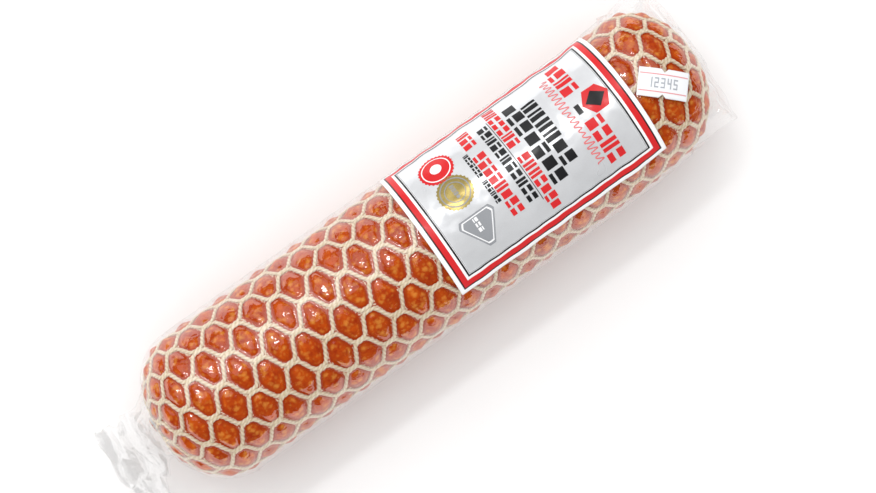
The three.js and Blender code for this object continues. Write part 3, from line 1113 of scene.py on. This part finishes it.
stickerPaper = ink("stickerPaper", sticker["paper"], 0.5, 0.0, 0.03)
stickerSheet = thicken(stickerPiece("sticker_sheet", stickerOutline(), 0), sticker["thickness"])
finishPiece(stickerSheet, stickerPaper, "sticker_paper", "price_sticker")
lineReach, lineHalf = sticker["lineReach"], sticker["lineHalf"]
lineAt = sticker["width"] / 2 - sticker["lineInset"]
lines = [rectangle(-lineReach, v - lineHalf, lineReach, v + lineHalf) for v in (-lineAt, lineAt)]
stickerLines = stickerPiece("sticker_lines", lines, sticker["lineLift"])
finishPiece(stickerLines, ink("stickerLine", sticker["line"]), "sticker_paper")
stickerNumber = stickerPiece("sticker_number", numberShapes(), sticker["numberLift"])
finishPiece(stickerNumber, ink("stickerDigit", sticker["digit"]), "sticker_paper")

# The clips keep their CAD shape and get a metal finish
print("clips")
clip = {"metal": (0.78, 0.79, 0.80), "dull": (0.56, 0.56, 0.57), "metallic": 0.35}


def clipMetal():
    finish = Finish("clipMetal")
    scratch = finish.noise(0.6, 4, stretch=(1, 8, 1), roughness=0.7)
    shader = finish.coated(
        base=finish.mix(scratch, clip["dull"], clip["metal"]), metallic=clip["metallic"],
        roughness=(scratch * 0.3 + 0.3).clamp(), normal=finish.bump(scratch, 0.2, 0.1),
    )
    return finish.done(shader)


clipFinish = clipMetal()
for node in ("left_clip", "right_clip"):
    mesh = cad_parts[node].data
    mesh.materials.clear()
    mesh.materials.append(clipFinish)

# Floor, light and camera, with the lights' sizes and distances in metres
print("stage")
stage = {
    "floorHalf": 1500.0,
    "floor": (0.91, 0.91, 0.91),
    "windowOff": math.radians(38),
    "windowDistance": 1.6,
    "windowHigh": 2.0,
    "windowWide": 2.4,
    "windowRadiance": 0.4,
    "windowShares": (1.0, 0.88, 0.76, 0.64, 0.5),  # panes inside each other
    "stripOff": math.radians(27),
    "stripDistance": 1.5,
    "stripHigh": 0.12,
    "stripWide": 0.7,
    "stripRadiance": 14.0,
    "fill": 1.02,
}


def floorFinish():
    finish = Finish("whiteTable")
    cloud = finish.noise(60, 3)
    grain = finish.noise(0.8, 2)
    shade = tuple(part * 0.97 for part in stage["floor"])
    shader = finish.coated(
        base=finish.mix(cloud, shade, stage["floor"]), roughness=(grain * 0.1 + 0.5).clamp(),
        normal=finish.bump(grain, 0.05, 0.05),
    )
    return finish.done(shader)


half = stage["floorHalf"]
corners = [(-half, -half, 0), (half, -half, 0), (half, half, 0), (-half, half, 0)]
floor = makeObject("floor", corners, [[0, 1, 2, 3]])
floor.data.materials.append(floorFinish())


def softLight(name, off, distance, high, wide, radiance):
    light = bpy.data.lights.new(name, "AREA")
    light.shape = "RECTANGLE"
    light.size, light.size_y = wide, high
    light.energy = radiance * math.pi * high * wide
    lamp = bpy.data.objects.new(name, light)
    lamp.location = (0, distance * math.sin(off), distance * math.cos(off))
    lamp.rotation_euler = (-off, 0, 0)
    bpy.context.scene.collection.objects.link(lamp)
    return lamp


for share in stage["windowShares"]:
    high, wide = stage["windowHigh"] * share, stage["windowWide"] * share
    softLight(f"window_{round(share * 100)}", stage["windowOff"], stage["windowDistance"],
              high, wide, stage["windowRadiance"])
softLight("strip", stage["stripOff"], stage["stripDistance"],
          stage["stripHigh"], stage["stripWide"], stage["stripRadiance"])

world = bpy.data.worlds.new("room")
world.use_nodes = True
bpy.context.scene.world = world
background = world.node_tree.nodes["Background"]
background.inputs["Color"].default_value = (1, 1, 1, 1)
background.inputs["Strength"].default_value = stage["fill"]
world.cycles_visibility.glossy = False  # gloss shows the window, the strip and the table

# The camera looks down from the height above its aim, with places in millimetres.
view = {
    "aim": Vector((14.0, -3.0, 33.0)),
    "foot": Vector((-45.2, -3.0)),
    "height": 977.0,
    "up": Vector((0.5796, 0.8149, 0)),
    "lens": 95.6,
}
cameraData = bpy.data.cameras.new("camera")
cameraData.lens = view["lens"]
cameraData.sensor_width = 36
cameraData.clip_end = 20
camera = bpy.data.objects.new("camera", cameraData)
camera.location = Vector((view["foot"].x, view["foot"].y, view["aim"].z + view["height"])) * mm
back = (camera.location - view["aim"] * mm).normalized()
right = view["up"].cross(back).normalized()
up = back.cross(right)
camera.rotation_euler = Matrix((right, up, back)).transposed().to_euler()
bpy.context.scene.collection.objects.link(camera)
bpy.context.scene.camera = camera
bpy.context.scene.view_settings.view_transform = "Standard"

bpy.context.view_layer.update()
